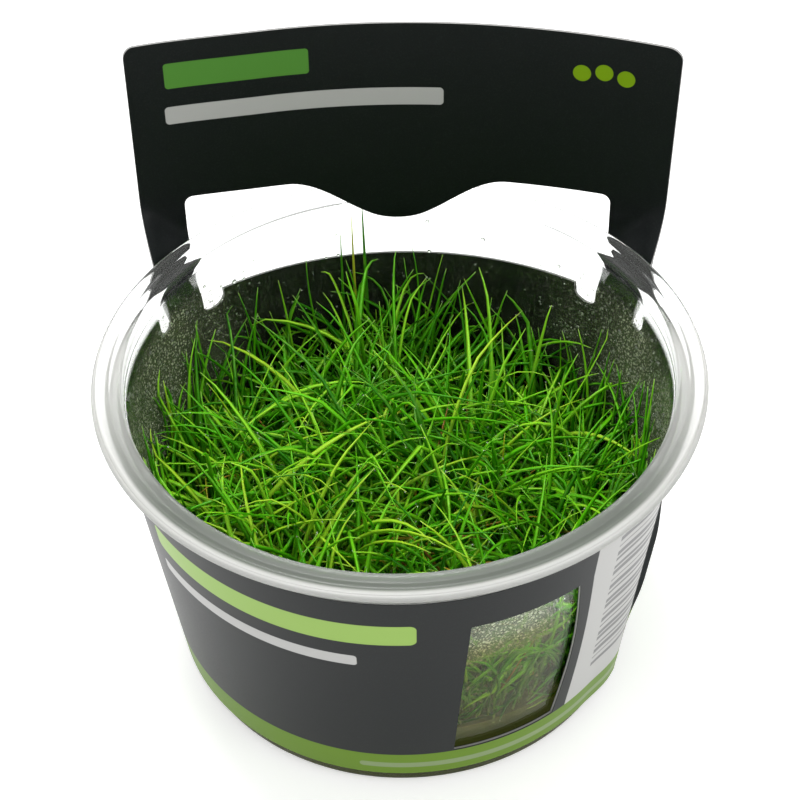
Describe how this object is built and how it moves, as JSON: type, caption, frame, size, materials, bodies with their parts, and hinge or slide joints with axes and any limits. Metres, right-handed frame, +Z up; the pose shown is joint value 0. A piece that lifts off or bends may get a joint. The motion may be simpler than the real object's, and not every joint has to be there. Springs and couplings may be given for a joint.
{
  "type": "dwarf hairgrass in a clear culture cup",
  "caption": "Dwarf hairgrass growing on gel in a small clear plastic cup, wrapped in a printed card sleeve with a tall header.",
  "frame": {"origin": "centre of the cup's flat foot, on the surface it stands on", "axes": "+Z up along the cup's axis; the header card stands at +Y and the sleeve's cut-out window faces -Y, towards the viewer"},
  "size_m": [0.085, 0.085, 0.0813],
  "materials": {
    "clear_plastic": "clear, glossy, fogged with fine droplets inside",
    "nutrient_gel": "wet, translucent",
    "grass_leaf": "fresh leaf, slightly glossy",
    "printed_card": "satin print on white card"
  },
  "bodies": {
    "root": {"cup": "clear_plastic", "gel": "nutrient_gel", "hairgrass": "grass_leaf", "card_sleeve": "printed_card"}
  },
  "joints": []
}
